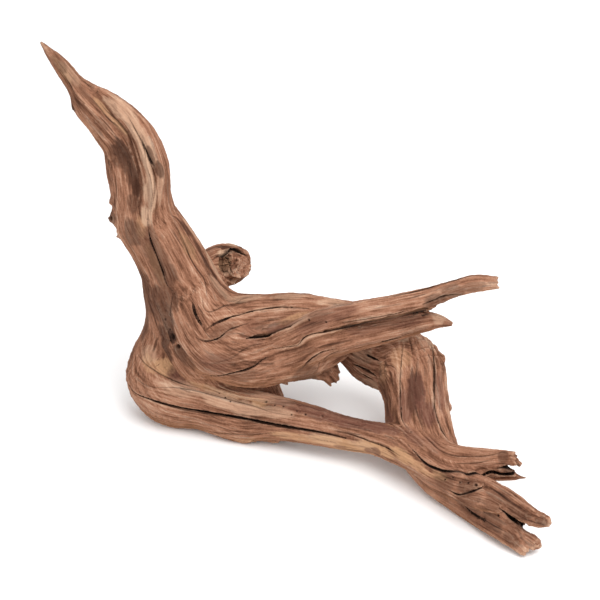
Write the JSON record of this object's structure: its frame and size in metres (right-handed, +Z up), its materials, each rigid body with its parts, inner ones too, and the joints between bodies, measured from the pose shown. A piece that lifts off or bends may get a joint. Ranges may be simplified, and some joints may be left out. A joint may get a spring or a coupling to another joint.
{
  "type": "piece of driftwood",
  "caption": "Weathered, twisted driftwood stump: a leaning pointed trunk, a split side branch and an arched and a long root that it stands on.",
  "frame": {"origin": "on the ground under the middle of the piece's bounding box", "axes": "+Z up, +X from the trunk's side towards the side branch, +Y towards the arched root's back; the long root is at the front, -Y"},
  "size_m": [0.3946, 0.2706, 0.3391],
  "materials": {
    "driftwood": "dry, matt, weathered grain"
  },
  "bodies": {
    "root": {"driftwood": "driftwood"}
  },
  "joints": []
}
